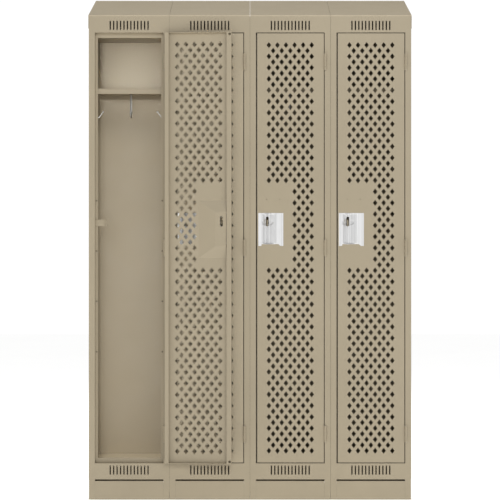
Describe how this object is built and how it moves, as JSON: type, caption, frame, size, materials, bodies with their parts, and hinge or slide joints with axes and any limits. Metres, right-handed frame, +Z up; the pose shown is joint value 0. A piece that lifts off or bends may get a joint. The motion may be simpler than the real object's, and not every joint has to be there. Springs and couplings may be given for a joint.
{
  "type": "locker cabinet",
  "caption": "Bank of single-tier steel lockers with diamond-perforated hinged doors, recessed padlock handles, a sloped hood and a closed base.",
  "frame": {"origin": "on the floor, under the middle of the box round the whole cabinet with its first door standing open", "axes": "+Z up, +Y from the front to the back (the doors face -Y), +X to the right of a person who faces the doors"},
  "size_m": [1.2294, 0.3536, 1.9336],
  "materials": {
    "paint": "satin beige powder coat",
    "stainless": "satin stainless steel",
    "zinc": "bright zinc plate",
    "rubber": "dull black rubber"
  },
  "bodies": {
    "cabinet": {"side_panel_left": "paint", "side_panel_right": "paint", "hood_end_left": "paint", "hood_end_right": "paint", "partition_1": "paint", "partition_2": "paint", "partition_3": "paint", "back_panel_1": "paint", "back_panel_2": "paint", "back_panel_3": "paint", "back_panel_4": "paint", "floor_pan_1": "paint", "floor_pan_2": "paint", "floor_pan_3": "paint", "floor_pan_4": "paint", "ceiling_pan_1": "paint", "ceiling_pan_2": "paint", "ceiling_pan_3": "paint", "ceiling_pan_4": "paint", "hat_shelf_1": "paint", "hat_shelf_2": "paint", "hat_shelf_3": "paint", "hat_shelf_4": "paint", "front_frame_1": "paint", "front_frame_2": "paint", "front_frame_3": "paint", "front_frame_4": "paint", "hasp_1": "paint", "hasp_2": "paint", "hasp_3": "paint", "hasp_4": "paint", "hood_1": "paint", "hood_2": "paint", "hood_3": "paint", "hood_4": "paint", "plinth_1": "paint", "plinth_2": "paint", "plinth_3": "paint", "plinth_4": "paint", "end_bases": "paint", "rear_posts": "paint", "double_hooks": "zinc", "side_hooks": "zinc", "frame_hinge_leaves": "paint", "hinge_pins": "zinc", "gang_fasteners": "zinc", "hood_fasteners": "zinc", "silencers": "rubber"},
    "door_1": {"door_panel_1": "paint", "handle_pan_1": "stainless", "door_hinge_leaves_1": "paint"},
    "door_2": {"door_panel_2": "paint", "handle_pan_2": "stainless", "door_hinge_leaves_2": "paint"},
    "door_3": {"door_panel_3": "paint", "handle_pan_3": "stainless", "door_hinge_leaves_3": "paint"},
    "door_4": {"door_panel_4": "paint", "handle_pan_4": "stainless", "door_hinge_leaves_4": "paint"}
  },
  "joints": [
    {"name": "door_1_hinge", "type": "hinge", "parent": "cabinet", "child": "door_1", "pos_m": [-0.3248, -0.13382, 0.9519], "axis": [0, 0, 1], "range_deg": [-175, 0]},
    {"name": "door_2_hinge", "type": "hinge", "parent": "cabinet", "child": "door_2", "pos_m": [-0.02, -0.13382, 0.9519], "axis": [0, 0, 1], "range_deg": [0, 2]},
    {"name": "door_3_hinge", "type": "hinge", "parent": "cabinet", "child": "door_3", "pos_m": [0.2848, -0.13382, 0.9519], "axis": [0, 0, 1], "range_deg": [0, 175]},
    {"name": "door_4_hinge", "type": "hinge", "parent": "cabinet", "child": "door_4", "pos_m": [0.5896, -0.13382, 0.9519], "axis": [0, 0, 1], "range_deg": [0, 175]}
  ]
}
